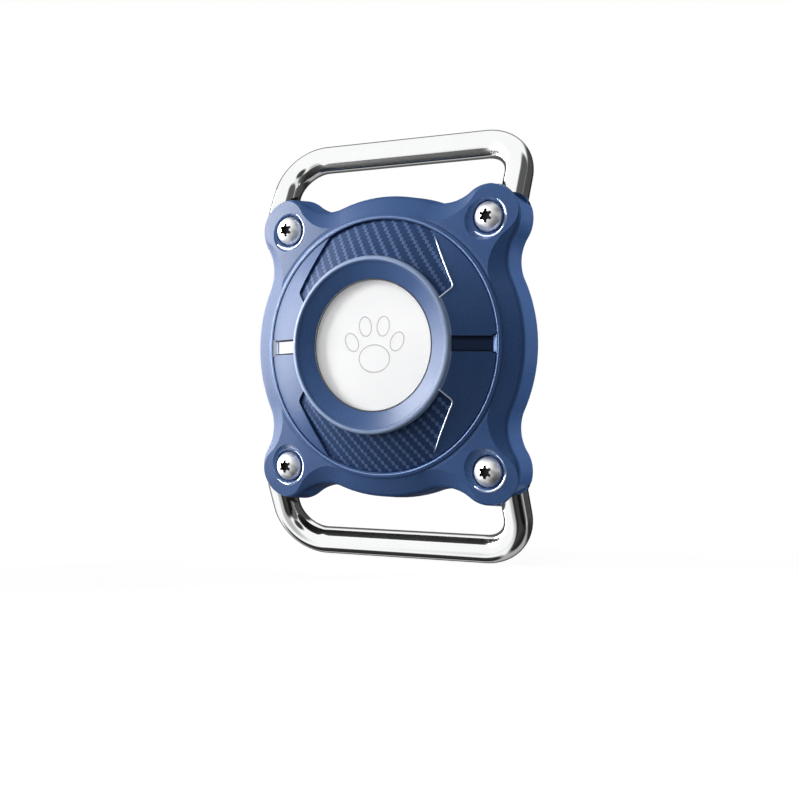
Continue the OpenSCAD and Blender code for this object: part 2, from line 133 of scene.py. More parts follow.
def area_lamp(name, azimuth, elevation, size, brightness, for_mirrors):
    """An area lamp that faces the case, seen by mirrors only or by plain surfaces only."""
    lamp = bpy.data.lights.new(name, "AREA")
    lamp.shape = "RECTANGLE"
    lamp.size, lamp.size_y = size
    lamp.energy = brightness * math.pi ** 2 * LAMP_DISTANCE ** 2
    box = bpy.data.objects.new(name, lamp)
    bpy.context.scene.collection.objects.link(box)
    towards = direction_to(azimuth, elevation)
    box.location = towards * LAMP_DISTANCE
    box.rotation_euler = towards.to_track_quat("Z", "Y").to_euler()
    box.visible_camera = False
    box.visible_glossy = for_mirrors
    box.visible_diffuse = not for_mirrors
    print(name, "power", round(lamp.energy, 2), "W")


area_lamp("softbox_main", -60, 12, (0.2, 0.5), 1.2, for_mirrors=False)
area_lamp("softbox_front", 6, 40, (0.25, 0.3), 0.22, for_mirrors=False)
area_lamp("strip_main", -60, 11, (0.2, 0.5), 4, for_mirrors=True)
area_lamp("strip_left", -97, 4, (0.26, 0.5), 0.9, for_mirrors=True)
area_lamp("softbox_side", 140, 5, (0.22, 0.7), 2.1, for_mirrors=False)

# %% [markdown]
# ## Small helpers for node trees
# Every shader here is built node by node. Written out, each Math node takes five lines, so
# three helpers do it in one: a sum, a soft step between two values, and how closely a
# direction points to a place in the surroundings.

# %% Helpers for node trees
def math_step(tree, operation, first, second=None, third=None):
    """One Math node; each input is a number or another node's output."""
    step = tree.nodes.new("ShaderNodeMath")
    step.operation = operation
    for socket, value in zip(step.inputs, (first, second, third)):
        if value is None:
            continue
        if isinstance(value, (int, float)):
            socket.default_value = value
        else:
            tree.links.new(value, socket)
    return step.outputs[0]


def smooth_range(tree, value, low, high, to_low=0.0, to_high=1.0):
    """Turns a value between low and high into a soft step."""
    step = tree.nodes.new("ShaderNodeMapRange")
    step.interpolation_type = "SMOOTHSTEP"
    tree.links.new(value, step.inputs["Value"])
    for socket, number in zip(("From Min", "From Max", "To Min", "To Max"), (low, high, to_low, to_high)):
        step.inputs[socket].default_value = number
    return step.outputs["Result"]


def facing(tree, direction, azimuth, elevation):
    """How closely a direction points to an azimuth and elevation: the cosine between them."""
    dot = tree.nodes.new("ShaderNodeVectorMath")
    dot.operation = "DOT_PRODUCT"
    tree.links.new(direction, dot.inputs[0])
    dot.inputs[1].default_value = direction_to(azimuth, elevation)
    return dot.outputs["Value"]


# %% [markdown]
# ## The surroundings
# The picture's background is pure white, so the camera sees the world at strength 1.
# Chrome shows what stands around it. We could build the photographer's set from white and
# dark cards, but a mirror only asks what lies in a direction, so the world itself is
# white with dark gaps in it. The largest are where the photographer stood, at the right,
# low round the table, and behind the case. Plain surfaces only get a weak even light from
# the world, so that it doesn't wash out the shading of the lamps.

# %% World
world = bpy.data.worlds.new("white_cards")
bpy.context.scene.world = world
world.use_nodes = True
world.cycles.sampling_method = "NONE"
air = world.node_tree
air.nodes.clear()
EVEN_LIGHT = 0.05
# Azimuth and elevation of a gap, the cosines at which it begins and is full, and its depth
dark_gaps = {
    "behind, left": (-152, 0, 0.56, 0.80, 0.9),
    "behind, right": (140, 5, 0.62, 0.78, 0.93),
    "the photographer": (34, 0, 0.927, 0.978, 0.95),
    "right": (70, 0, 0.80, 0.97, 0.2),
    "low, left": (-97, -59, 0.90, 0.95, 0.97),
    "low, right": (60, -58, 0.79, 0.88, 0.95),
    "low, in front": (0, -42, 0.86, 0.98, 0.5),
    "high, right": (76, 44, 0.87, 0.95, 0.9),
    "right, a little down": (72, -22, 0.85, 0.94, 0.85),
    "behind, low": (150, -55, 0.64, 0.87, 0.6),
}
sky_direction = air.nodes.new("ShaderNodeTexCoord").outputs["Generated"]
rays = air.nodes.new("ShaderNodeLightPath").outputs
mirror_view = 1.0
for gap_azimuth, gap_elevation, begins, full, depth in dark_gaps.values():
    gap = smooth_range(air, facing(air, sky_direction, gap_azimuth, gap_elevation), begins, full)
    left_over = math_step(air, "SUBTRACT", 1.0, math_step(air, "MULTIPLY", gap, depth))
    mirror_view = math_step(air, "MULTIPLY", left_over, mirror_view)
mirror_part = math_step(air, "MULTIPLY", mirror_view, rays["Is Glossy Ray"])
open_part = math_step(air, "MAXIMUM", rays["Is Camera Ray"], rays["Is Transmission Ray"])
even_part = math_step(air, "MULTIPLY", rays["Is Diffuse Ray"], EVEN_LIGHT)
strength = math_step(air, "ADD", math_step(air, "MAXIMUM", mirror_part, open_part), even_part)
background = air.nodes.new("ShaderNodeBackground")
background.inputs["Color"].default_value = (1, 1, 1, 1)
air.links.new(strength, background.inputs["Strength"])
air.links.new(background.outputs[0], air.nodes.new("ShaderNodeOutputWorld").inputs["Surface"])
print("dark gaps:", len(dark_gaps), "world nodes:", len(air.nodes))

# %% [markdown]
# ## Making a mesh
# Blender has tools and modifiers that build shapes, but the small pieces here follow
# formulas, and then lists of points and faces are the shortest way. One helper turns such
# lists, in millimetres as in the part's source, into an object.

# %% Helpers for meshes
def new_object(name, points, faces, material, smooth=False):
    """A mesh object from points in millimetres, in one material."""
    mesh = bpy.data.meshes.new(name)
    mesh.from_pydata([[size / 1000 for size in point] for point in points], [], faces)
    mesh.materials.append(material)
    if smooth:
        mesh.shade_smooth()
    made = bpy.data.objects.new(name, mesh)
    bpy.context.scene.collection.objects.link(made)
    return made


def level_card(name, half_width, front, back, height, material):
    """A level rectangle, in millimetres."""
    edge = ((-half_width, front), (half_width, front), (half_width, back), (-half_width, back))
    return new_object(name, [(x, y, height) for x, y in edge], [(0, 1, 2, 3)], material)


# %% [markdown]
# ## The floor
# The case stands on its lower loop, on white paper that melts into the background. White
# paper under these lamps would turn grey where they don't reach. So the paper is dark
# grey with a glow that only the camera sees, which brings it up to white. Where the case
# keeps the lamps away from the grey, a faint shadow is left.

# %% Paper
paper = bpy.data.materials.new("white_paper")
paper.use_nodes = True
sheet = paper.node_tree
sheet.nodes.clear()
matt = sheet.nodes.new("ShaderNodeBsdfDiffuse")
matt.inputs["Color"].default_value = (0.15, 0.15, 0.15, 1)
glow = sheet.nodes.new("ShaderNodeEmission")
paper_rays = sheet.nodes.new("ShaderNodeLightPath").outputs
seen = math_step(sheet, "MAXIMUM", paper_rays["Is Camera Ray"], paper_rays["Is Transmission Ray"])
from_case = sheet.nodes.new("ShaderNodeVectorMath")
from_case.operation = "LENGTH"
sheet.links.new(sheet.nodes.new("ShaderNodeTexCoord").outputs["Object"], from_case.inputs[0])
whiter_far_out = smooth_range(sheet, from_case.outputs["Value"], 0.1, 0.5, 0.9, 1.0)
sheet.links.new(math_step(sheet, "MULTIPLY", seen, whiter_far_out), glow.inputs["Strength"])
both = sheet.nodes.new("ShaderNodeAddShader")
sheet.links.new(matt.outputs[0], both.inputs[0])
sheet.links.new(glow.outputs[0], both.inputs[1])
sheet.links.new(both.outputs[0], sheet.nodes.new("ShaderNodeOutputMaterial").inputs["Surface"])
print("paper nodes:", len(sheet.nodes))

# %% Floor
FLOOR_GAP, FLOOR_REACH = 0.2, 1500
floor_height = cad_box[0][2] * 1000 - FLOOR_GAP
floor = level_card("floor", FLOOR_REACH, -FLOOR_REACH, FLOOR_REACH, floor_height, paper)
floor.visible_glossy = False
print("floor at", round(floor_height, 2), "mm")

# %% [markdown]
# ## Two black flags
# The undersides of the chromed bars would mirror the blue case. In the photo they mirror
# something black, so the photographer had small black cards, called flags, close to the
# case. Ours are seen by mirrors only: they take no light away and throw no shadow.

# %% Flags
FLAG_HALF_W, FLAG_FRONT, FLAG_BACK, FLAG_HEIGHT = 19.5, -3.5, 4.8, 27.7
black_card = bpy.data.materials.new("black_card")
black_card.use_nodes = True
black_card.node_tree.nodes["Principled BSDF"].inputs["Base Color"].default_value = (0.01, 0.01, 0.01, 1)
for flag_name, height in (("flag_upper", FLAG_HEIGHT), ("flag_lower", -FLAG_HEIGHT)):
    flag = level_card(flag_name, FLAG_HALF_W, FLAG_FRONT, FLAG_BACK, height, black_card)
    flag.visible_camera = flag.visible_diffuse = flag.visible_shadow = flag.visible_transmission = False
print("flags: 2")

# %% [markdown]
# ## Effects that several finishes share
# A moulded surface isn't one flat colour: close up it has a fine speckle, and its shine
# varies. We could paint that into every material, but a node group does it once, and each
# material gives it its own colours and sizes. The group puts out a colour, a roughness and
# a height, and never a shader, so that every material stays readable.

# %% A helper that makes a group with named sockets
def new_group(name, inputs, outputs):
    """An empty shader node group with named inputs and outputs."""
    tree = bpy.data.node_groups.new(name, "ShaderNodeTree")
    for label, kind, value in inputs:
        socket = tree.interface.new_socket(name=label, in_out="INPUT", socket_type=kind)
        socket.default_value = value
    for label, kind in outputs:
        tree.interface.new_socket(name=label, in_out="OUTPUT", socket_type=kind)
    given = tree.nodes.new("NodeGroupInput").outputs
    result = tree.nodes.new("NodeGroupOutput").inputs
    return tree, given, result


def mix_colours(tree, amount, first, second):
    """Blends two colours; each input is a colour or another node's output."""
    mix = tree.nodes.new("ShaderNodeMix")
    mix.data_type = "RGBA"
    for label, value in (("Factor_Float", amount), ("A_Color", first), ("B_Color", second)):
        socket = next(s for s in mix.inputs if s.identifier == label)
        if isinstance(value, (int, float, tuple)):
            socket.default_value = value
        else:
            tree.links.new(value, socket)
    return next(s for s in mix.outputs if s.identifier == "Result_Color")


def noise(tree, where, scale, detail=2.0):
    """A noise value between about 0.2 and 0.8; scale is a number or an output."""
    texture = tree.nodes.new("ShaderNodeTexNoise")
    tree.links.new(where, texture.inputs["Vector"])
    texture.inputs["Detail"].default_value = detail
    if isinstance(scale, (int, float)):
        texture.inputs["Scale"].default_value = scale
    else:
        tree.links.new(scale, texture.inputs["Scale"])
    return texture.outputs["Fac"]


# %% Speckle: fine grain, with slow changes of shade and shine
speckle, given, result = new_group("speckle", [
    ("Where", "NodeSocketVector", (0, 0, 0)), ("Light Shade", "NodeSocketColor", (1, 1, 1, 1)),
    ("Dark Shade", "NodeSocketColor", (0.8, 0.8, 0.8, 1)), ("Grains per Metre", "NodeSocketFloat", 5000),
    ("Clouds per Metre", "NodeSocketFloat", 90), ("Smoothest", "NodeSocketFloat", 0.3),
    ("Roughest", "NodeSocketFloat", 0.5)],
    [("Color", "NodeSocketColor"), ("Roughness", "NodeSocketFloat"), ("Height", "NodeSocketFloat")])
grain = noise(speckle, given["Where"], given["Grains per Metre"])
clouds = noise(speckle, given["Where"], given["Clouds per Metre"], 4)
shade = math_step(speckle, "ADD", math_step(speckle, "MULTIPLY", smooth_range(speckle, grain, 0.3, 0.7), 0.6),
                  math_step(speckle, "MULTIPLY", smooth_range(speckle, clouds, 0.3, 0.7), 0.4))
speckle.links.new(mix_colours(speckle, shade, given["Dark Shade"], given["Light Shade"]), result["Color"])
spread = math_step(speckle, "SUBTRACT", given["Roughest"], given["Smoothest"])
speckle.links.new(math_step(speckle, "MULTIPLY_ADD", smooth_range(speckle, clouds, 0.25, 0.75), spread,
                            given["Smoothest"]), result["Roughness"])
speckle.links.new(grain, result["Height"])
print("group speckle:", len(speckle.nodes), "nodes")

# %% [markdown]
# Corners turn paler: partly wear, where they are handled most, and partly a painted
# highlight, where a rounded corner would catch the light. We could paint a mask by hand,
# but the Bevel node finds the corners by itself: it gives the normal that a rounded corner
# would have, and where that departs from the real normal, an edge is near.

# %% Paler edges: wear and painted highlight
wear_and_highlight_group, given, result = new_group("edge_wear_and_highlight", [("Reach", "NodeSocketFloat", 0.0002)],
                                  [("Mask", "NodeSocketFloat")])
rounding = wear_and_highlight_group.nodes.new("ShaderNodeBevel")
rounding.samples = 6
wear_and_highlight_group.links.new(given["Reach"], rounding.inputs["Radius"])
compare = wear_and_highlight_group.nodes.new("ShaderNodeVectorMath")
compare.operation = "DOT_PRODUCT"
wear_and_highlight_group.links.new(rounding.outputs["Normal"], compare.inputs[0])
wear_and_highlight_group.links.new(wear_and_highlight_group.nodes.new("ShaderNodeNewGeometry").outputs["Normal"], compare.inputs[1])
wear_and_highlight_group.links.new(smooth_range(wear_and_highlight_group, compare.outputs["Value"], 0.995, 0.90), result["Mask"])
print("group edge_wear_and_highlight:", len(wear_and_highlight_group.nodes), "nodes")

# %% [markdown]
# The two inlays carry a woven pattern: staircases of raised cells that run down to the
# right. Counted in the photo, a cell is 0.49 mm wide and 0.67 mm high, and every fourth
# one across is raised, a little wider than its cell, so that the steps join. An image of
# the weave would do, but a formula stays sharp close up. The column less the whole number
# of the row, modulo 4, tells how far a point is along a step.

# %% Woven cells
CELL_W, CELL_H = 0.000487, 0.000667
STEP_CELLS, RAISED_CELLS = 4, 1.35
woven, given, result = new_group("woven_cells", [("Where", "NodeSocketVector", (0, 0, 0))],
                                 [("Raised", "NodeSocketFloat"), ("Height", "NodeSocketFloat")])
apart = woven.nodes.new("ShaderNodeSeparateXYZ")
woven.links.new(given["Where"], apart.inputs[0])
column = math_step(woven, "DIVIDE", apart.outputs["X"], CELL_W)
row = math_step(woven, "DIVIDE", apart.outputs["Z"], -CELL_H)
stair = math_step(woven, "FLOORED_MODULO",
                  math_step(woven, "SUBTRACT", column, math_step(woven, "FLOOR", row)), STEP_CELLS)
raised = math_step(woven, "MULTIPLY", smooth_range(woven, stair, 0.0, 0.15),
                   smooth_range(woven, stair, RAISED_CELLS, RAISED_CELLS - 0.15))
along = math_step(woven, "ABSOLUTE", math_step(woven, "SUBTRACT", math_step(woven, "FRACT", row), 0.5))
woven.links.new(raised, result["Raised"])
woven.links.new(math_step(woven, "MULTIPLY_ADD", smooth_range(woven, along, 0.5, 0.3), 0.3,
                          math_step(woven, "MULTIPLY", raised, 0.7)), result["Height"])
print("group woven_cells:", len(woven.nodes), "nodes")

# %% [markdown]
# ## Finishes
# Every finish is a Principled shader. What is the same all over sits on its own sockets.
# What varies comes from a group. A small helper starts each material and wires the
# speckle group's colour, roughness and height.

# %% A helper for finishes
def new_finish(name, light, dark, smoothest, roughest, grains=5000, clouds=90, bump=0.000004,
               metallic=0.0, ior=1.5):
    """A material with the speckle group wired in; returns the material, its tree, shader and bump node."""
    material = bpy.data.materials.new(name)
    material.use_nodes = True
    tree = material.node_tree
    shader = tree.nodes["Principled BSDF"]
    shader.inputs["Metallic"].default_value = metallic
    shader.inputs["IOR"].default_value = ior
    grain_node = tree.nodes.new("ShaderNodeGroup")
    grain_node.node_tree = speckle
    grain_node.name = "speckle"
    tree.links.new(tree.nodes.new("ShaderNodeTexCoord").outputs["Object"], grain_node.inputs["Where"])
    grain_node.inputs["Light Shade"].default_value = (*light, 1)
    grain_node.inputs["Dark Shade"].default_value = (*dark, 1)
    grain_node.inputs["Grains per Metre"].default_value = grains
    grain_node.inputs["Clouds per Metre"].default_value = clouds
    grain_node.inputs["Smoothest"].default_value = smoothest
    grain_node.inputs["Roughest"].default_value = roughest
    relief = tree.nodes.new("ShaderNodeBump")
    relief.inputs["Strength"].default_value = 1.0
    relief.inputs["Distance"].default_value = bump
    tree.links.new(grain_node.outputs["Height"], relief.inputs["Height"])
    tree.links.new(grain_node.outputs["Color"], shader.inputs["Base Color"])
    tree.links.new(grain_node.outputs["Roughness"], shader.inputs["Roughness"])
    tree.links.new(relief.outputs["Normal"], shader.inputs["Normal"])
    print("finish", name)
    return material, tree, shader, relief


def paint_edge_wear_and_highlight(material, reach, pale, strength):
    """Blends a paler shade over the material's colour near its edges: wear and a painted highlight."""
    tree = material.node_tree
    mask = tree.nodes.new("ShaderNodeGroup")
    mask.node_tree = wear_and_highlight_group
    mask.inputs["Reach"].default_value = reach
    target = tree.nodes["Principled BSDF"].inputs["Base Color"]
    before = target.links[0].from_socket
    amount = math_step(tree, "MULTIPLY", mask.outputs["Mask"], strength)
    tree.links.new(mix_colours(tree, amount, before, (*pale, 1)), target)


# %% [markdown]
# The case is a matt blue moulding with a grain of about 0.25 mm. Its slopes shine pale
# where they face the strips on the left, so it isn't fully matt, but its mirror strength
# is well under the usual 0.5: all that white round the case would turn the dark slopes
# grey.

# %% Case plastic
case_plastic, tree, shader, relief = new_finish(
    "case_plastic", (0.062, 0.140, 0.350), (0.046, 0.108, 0.285), 0.34, 0.42, grains=3900, bump=0.000014)
shader.inputs["Specular IOR Level"].default_value = 0.2
# Paler edges: partly wear, partly a painted highlight.
paint_edge_wear_and_highlight(case_plastic, 0.00018, (0.16, 0.26, 0.46), 0.55)

# %% [markdown]
# The flat top of the window's lip is dished a little towards the window: it is dark on the
# left and pale on the right, as the funnel is. The solid is flat there, and only its
# shading has to tilt. So a Bump node gets a height that grows with the distance from the
# window's middle, over a narrow ring on the lip. Outside the ring the height fades out
# slowly, and the back of the case is left out.

# %% Dished lip
from_middle = tree.nodes.new("ShaderNodeVectorMath")
from_middle.operation = "MULTIPLY"
from_middle.inputs[1].default_value = (1, 0, 1)
tree.links.new(tree.nodes["Texture Coordinate"].outputs["Object"], from_middle.inputs[0])
radius = tree.nodes.new("ShaderNodeVectorMath")
radius.operation = "LENGTH"
tree.links.new(from_middle.outputs["Vector"], radius.inputs[0])
past_funnel = math_step(tree, "SUBTRACT", radius.outputs["Value"], FUNNEL_R / 1000)
DISHED_W = 0.0004
rise = math_step(tree, "MINIMUM", math_step(tree, "MAXIMUM", past_funnel, 0.0), DISHED_W)
place = tree.nodes.new("ShaderNodeSeparateXYZ")
tree.links.new(tree.nodes["Texture Coordinate"].outputs["Object"], place.inputs[0])
front_half = math_step(tree, "LESS_THAN", place.outputs["Y"], 0.0)
fade = smooth_range(tree, radius.outputs["Value"], 0.015, 0.0205, 1.0, 0.0)
rise = math_step(tree, "MULTIPLY", rise, math_step(tree, "MULTIPLY", fade, front_half))
dish = tree.nodes.new("ShaderNodeBump")
dish.inputs["Distance"].default_value = 0.28
tree.links.new(rise, dish.inputs["Height"])
tree.links.new(dish.outputs["Normal"], relief.inputs["Normal"])

# %% [markdown]
# The outer edge of that lip is painted as a pale ring: a painted highlight where the edge
# catches the light. The ring lies between two radii, and only in front of the dial.

# %% Painted highlight on the lip
LIP_BACK_Y = -0.0071
in_front = math_step(tree, "LESS_THAN", place.outputs["Y"], LIP_BACK_Y)
ring = math_step(tree, "MULTIPLY", smooth_range(tree, radius.outputs["Value"], 0.01405, 0.01435),
                 smooth_range(tree, radius.outputs["Value"], 0.01495, 0.01515, 1.0, 0.0))
lip_highlight = math_step(tree, "MULTIPLY", math_step(tree, "MULTIPLY", ring, in_front), 0.9)
before = shader.inputs["Base Color"].links[0].from_socket
# A pale blue mixed in over the ring: a painted highlight.
tree.links.new(mix_colours(tree, lip_highlight, before, (0.42, 0.55, 0.82, 1)), shader.inputs["Base Color"])

# %% [markdown]
# Some edges shine like a thin bright line: the rail round the dial, the right-hand lips of
# the inlays, the ends of the slots and the rims of the countersinks. They get a metal finish
# that mirrors the white surroundings, tinted with the case's blue, so that the line is
# partly a painted highlight. The dark lines along the slots are the opposite: painted
# shade, a dark matt blue that mirrors almost nothing.

# %% Metal edges and painted shade along the slots
rail_edge, *_ = new_finish("rail_edge", (0.10, 0.145, 0.26), (0.08, 0.12, 0.22), 0.42, 0.52, metallic=1)
# Painted shade for the dark lines along the slots.
painted_slot_shade, _, shader, _ = new_finish("painted_slot_shade", (0.010, 0.016, 0.040), (0.006, 0.010, 0.028), 0.6, 0.8)
shader.inputs["Specular IOR Level"].default_value = 0.1
bright_edge, *_ = new_finish("bright_edge", (0.48, 0.53, 0.64), (0.40, 0.46, 0.58), 0.32, 0.42, metallic=1)

# %% [markdown]
# The inlays are darker than the case. Their raised cells are painted paler: partly the
# weave's own two tones, partly a painted sheen, as on the threads of a glossy cloth that
# all lean one way. The weave's group puts out a mask, which mixes in the paler blue, and a
# height, which goes into a Bump node after the grain's own.

# %% Textured panel
textured_panel, tree, shader, relief = new_finish(
    "textured_panel", (0.044, 0.092, 0.225), (0.030, 0.066, 0.170), 0.34, 0.46, grains=7000, bump=0.000003)
shader.inputs["Specular IOR Level"].default_value = 0.08
cells = tree.nodes.new("ShaderNodeGroup")
cells.node_tree = woven
tree.links.new(tree.nodes["Texture Coordinate"].outputs["Object"], cells.inputs["Where"])
plain = shader.inputs["Base Color"].links[0].from_socket
# Raised cells paler: the weave's own tone and a painted sheen.
tree.links.new(mix_colours(tree, math_step(tree, "MULTIPLY", cells.outputs["Raised"], 0.95), plain,
                           (0.135, 0.215, 0.43, 1)), shader.inputs["Base Color"])
weave_relief = tree.nodes.new("ShaderNodeBump")
weave_relief.inputs["Distance"].default_value = 0.000012
tree.links.new(cells.outputs["Height"], weave_relief.inputs["Height"])
tree.links.new(relief.outputs["Normal"], weave_relief.inputs["Normal"])
tree.links.new(weave_relief.outputs["Normal"], shader.inputs["Normal"])

# %% [markdown]
# The strips left and right of the window are lacquered dark blue, smooth as glass, so
# that they mirror a lamp. Rubber shows as a thin ring round the window, and foam and the
# tag's inner parts show only when the case is open. A shade and a roughness each is
# enough for them.

# %% Other plastics and rubbers
gloss_strip, *_ = new_finish("gloss_strip", (0.030, 0.062, 0.155), (0.024, 0.052, 0.130), 0.08, 0.14,
                             bump=0.0000005, ior=1.6)
grey_rubber, *_ = new_finish("grey_rubber", (0.060, 0.064, 0.070), (0.040, 0.043, 0.048), 0.5, 0.7)
black_rubber, *_ = new_finish("black_rubber", (0.022, 0.022, 0.023), (0.012, 0.012, 0.013), 0.45, 0.65)
foam, *_ = new_finish("foam", (0.10, 0.10, 0.105), (0.03, 0.03, 0.032), 0.85, 1.0, grains=2600, bump=0.00008)
tag_frame_white, *_ = new_finish("tag_frame_white", (0.78, 0.78, 0.76), (0.70, 0.70, 0.68), 0.4, 0.55)
board_green, *_ = new_finish("board_green", (0.020, 0.16, 0.060), (0.012, 0.10, 0.036), 0.3, 0.45, clouds=700)

# %% [markdown]
# The tag's shell is smooth white plastic. In the photo its disc is nearly as white as the
# background, which the lamps alone don't reach inside the funnel. More light would bleach
# the blue round it, so the shell gets a faint glow of its own.

# %% Tag white
tag_white, _, shader, _ = new_finish("tag_white", (0.84, 0.84, 0.845), (0.81, 0.81, 0.82), 0.18, 0.28,
                                     grains=3000, bump=0.000001)
shader.inputs["Emission Color"].default_value = (1, 1, 1, 1)
shader.inputs["Emission Strength"].default_value = 0.3

# %% [markdown]
# ## Metals
# A metal's colour is its reflection, so it needs a mirror-like shader, and fine marks in
# its roughness more than in its colour.

# %% Metals
chromed_wire, *_ = new_finish("chromed_wire", (0.96, 0.965, 0.97), (0.92, 0.925, 0.93), 0.05, 0.09,
                              grains=2500, clouds=200, bump=0.0000006, metallic=1)
polished_steel, *_ = new_finish("polished_steel", (0.86, 0.86, 0.88), (0.78, 0.78, 0.80), 0.09, 0.16,
                                grains=4000, bump=0.000001, metallic=1)
screw_steel, *_ = new_finish("screw_steel", (0.90, 0.90, 0.91), (0.82, 0.82, 0.83), 0.36, 0.46,
                             grains=4000, bump=0.000001, metallic=1)
# Painted shade for the deep screw sockets.
painted_socket_shade, *_ = new_finish("painted_socket_shade", (0.012, 0.012, 0.013), (0.006, 0.006, 0.007), 0.5, 0.7)
brass, *_ = new_finish("brass", (0.78, 0.56, 0.24), (0.62, 0.42, 0.16), 0.22, 0.4, metallic=1)
copper, *_ = new_finish("copper", (0.80, 0.36, 0.20), (0.60, 0.24, 0.12), 0.25, 0.4, clouds=900, metallic=1)
magnet, *_ = new_finish("magnet", (0.38, 0.38, 0.40), (0.26, 0.26, 0.28), 0.25, 0.4, metallic=1)
cell_steel, *_ = new_finish("cell_steel", (0.74, 0.74, 0.75), (0.62, 0.62, 0.64), 0.2, 0.34, metallic=1)

# %% [markdown]
# ## The window
# It is a thin clear plastic disc. Light that goes through glass to a surface behind it
# arrives late and noisy in a renderer, so for shadow and diffuse rays the disc is simply
# see-through, while the camera and mirrors meet real glass.

# %% Clear window
clear_window = bpy.data.materials.new("clear_window")
clear_window.use_nodes = True
tree = clear_window.node_tree
glass = tree.nodes["Principled BSDF"]
glass.inputs["Transmission Weight"].default_value = 1.0
glass.inputs["IOR"].default_value = 1.49
smear = noise(tree, tree.nodes.new("ShaderNodeTexCoord").outputs["Object"], 160)
tree.links.new(smooth_range(tree, smear, 0.3, 0.7, 0.0, 0.03), glass.inputs["Roughness"])
tree.links.new(mix_colours(tree, smear, (0.985, 0.99, 0.99, 1), (1, 1, 1, 1)), glass.inputs["Base Color"])
through = tree.nodes.new("ShaderNodeBsdfTransparent")
window_rays = tree.nodes.new("ShaderNodeLightPath").outputs
choose = tree.nodes.new("ShaderNodeMixShader")
tree.links.new(math_step(tree, "MAXIMUM", window_rays["Is Shadow Ray"], window_rays["Is Diffuse Ray"]),
               choose.inputs[0])
tree.links.new(glass.outputs[0], choose.inputs[1])
tree.links.new(through.outputs[0], choose.inputs[2])
tree.links.new(choose.outputs[0], tree.nodes["Material Output"].inputs["Surface"])
print("finish clear_window")

# %% [markdown]
# ## Dressing the solids
# Each CAD node brings material slots that are still plain. One table says which finish
# every node gets, so the whole object can be read at a glance.

# %% Give every CAD node its finish
finish_of = {
    "front_cover": case_plastic, "back_cover": case_plastic,
    "upper_grip_panel": textured_panel, "lower_grip_panel": textured_panel,
    "left_accent_strip": gloss_strip, "right_accent_strip": gloss_strip,
    "window_lens": clear_window, "lens_gasket": grey_rubber, "main_seal": black_rubber,
    "screw_seals": black_rubber, "thread_inserts": brass,
    "upper_loop": chromed_wire, "lower_loop": chromed_wire,
    "screw_upper_left": screw_steel, "screw_upper_right": screw_steel,
    "screw_lower_left": screw_steel, "screw_lower_right": screw_steel,
    "tag_cushion": foam, "tag_shell": tag_white, "tag_inner_frame": tag_frame_white,
    "tag_circuit_board": board_green, "tag_speaker_coil": copper, "tag_speaker_magnet": magnet,
    "tag_contacts": brass, "coin_cell": cell_steel, "tag_battery_cover": polished_steel,
}
for node_name, finish in finish_of.items():
    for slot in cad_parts[node_name].material_slots:
        slot.material = finish
print("dressed", len(finish_of), "of", len(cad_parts), "nodes")

# %% [markdown]
# ## Woven skins on the inlays
# Bump alone leaves an edge-on surface smooth. So each inlay also gets a skin with the
# cells as real relief. Its outline is the inlay's own, and its rim dips into the inlay, so
# that no edge stands in the air. We walk round the outline by angle, and at each angle
# go from the inner circle out to the outline.

# %% Outline of an inlay, in millimetres
PANEL_TOP_X, PANEL_CORNER_X, PANEL_CORNER_Z = 10, 14.75, 9.3
PANEL_FRONT_D, GROOVE_W, RIM_STEPS = 0.65, 0.2, 24


def dial_depth(r):
    """Depth of the dial's cone at radius r, in millimetres."""
    return LIP_FOOT_D + (r - LIP_R) * DIAL_SLOPE


def corner_arc(a, b, c, r, steps):
    """Points of an arc of radius r that rounds the corner b between a and c."""
    u, v = (a - b).normalized(), (c - b).normalized()
    half = u.angle(v) / 2
    middle = b + (u + v).normalized() * r / math.sin(half)
    p, q = b + u * r / math.tan(half) - middle, b + v * r / math.tan(half) - middle
    start = math.atan2(p.y, p.x)
    turn = (math.atan2(q.y, q.x) - start + math.pi) % (2 * math.pi) - math.pi
    return [middle + Vector((math.cos(start + turn * i / steps), math.sin(start + turn * i / steps))) * r
            for i in range(steps + 1)]


def inlay_outline(shrink):
    """The right half of an inlay's outline, from its foot to the top of the middle."""
    r = DIAL_R + 0.6 * GROOVE_W - shrink
    corner = Vector((PANEL_CORNER_X - shrink, PANEL_CORNER_Z))
    aim = Vector((PANEL_TOP_X - shrink, math.sqrt(DIAL_R ** 2 - PANEL_TOP_X ** 2)))
    u = (aim - corner).normalized()
    b = corner.dot(u)
    tip = corner + u * (math.sqrt(b * b - corner.dot(corner) + r * r) - b)
    foot_reach = 1.25 * (PANEL_CORNER_X - LIP_R * math.cos(math.radians(30))) + 0.6
    foot = corner - Vector((1, 1)) * foot_reach
    sweep = math.atan2(tip.y, tip.x) + math.radians(3)
    rim = [Vector((math.cos(a), math.sin(a))) * r
           for a in (sweep + (math.pi / 2 - sweep) * i / RIM_STEPS for i in range(RIM_STEPS + 1))]
    return [foot] + corner_arc(foot, corner, tip, 0.8, 8) + corner_arc(corner, tip, rim[0], 0.5, 8) + rim


print("outline points:", len(inlay_outline(0.08)))


# %% Skins
def outline_radius(outline, angle):
    """How far out the outline is at an angle from the middle."""
    ray = Vector((math.cos(angle), math.sin(angle)))
    for p, q in zip(outline, outline[1:]):
        side_p, side_q = ray.x * p.y - ray.y * p.x, ray.x * q.y - ray.y * q.x
        if side_p <= 0 <= side_q and side_p != side_q:
            return (p + (q - p) * (side_p / (side_p - side_q))).dot(ray)
    return outline[-1].length


def cell_relief(x, z):
    """Height of the woven relief at a point, in millimetres."""
    row = -z / (CELL_H * 1000)
    stair = (x / (CELL_W * 1000) - math.floor(row)) % STEP_CELLS
    rib = 1 - (2 * (row % 1) - 1) ** 4
    across = min(stair, RAISED_CELLS - stair) / 0.25
    return 0.012 + 0.01 * rib + 0.03 * max(0.0, min(1.0, across)) * (0.6 + 0.4 * rib)


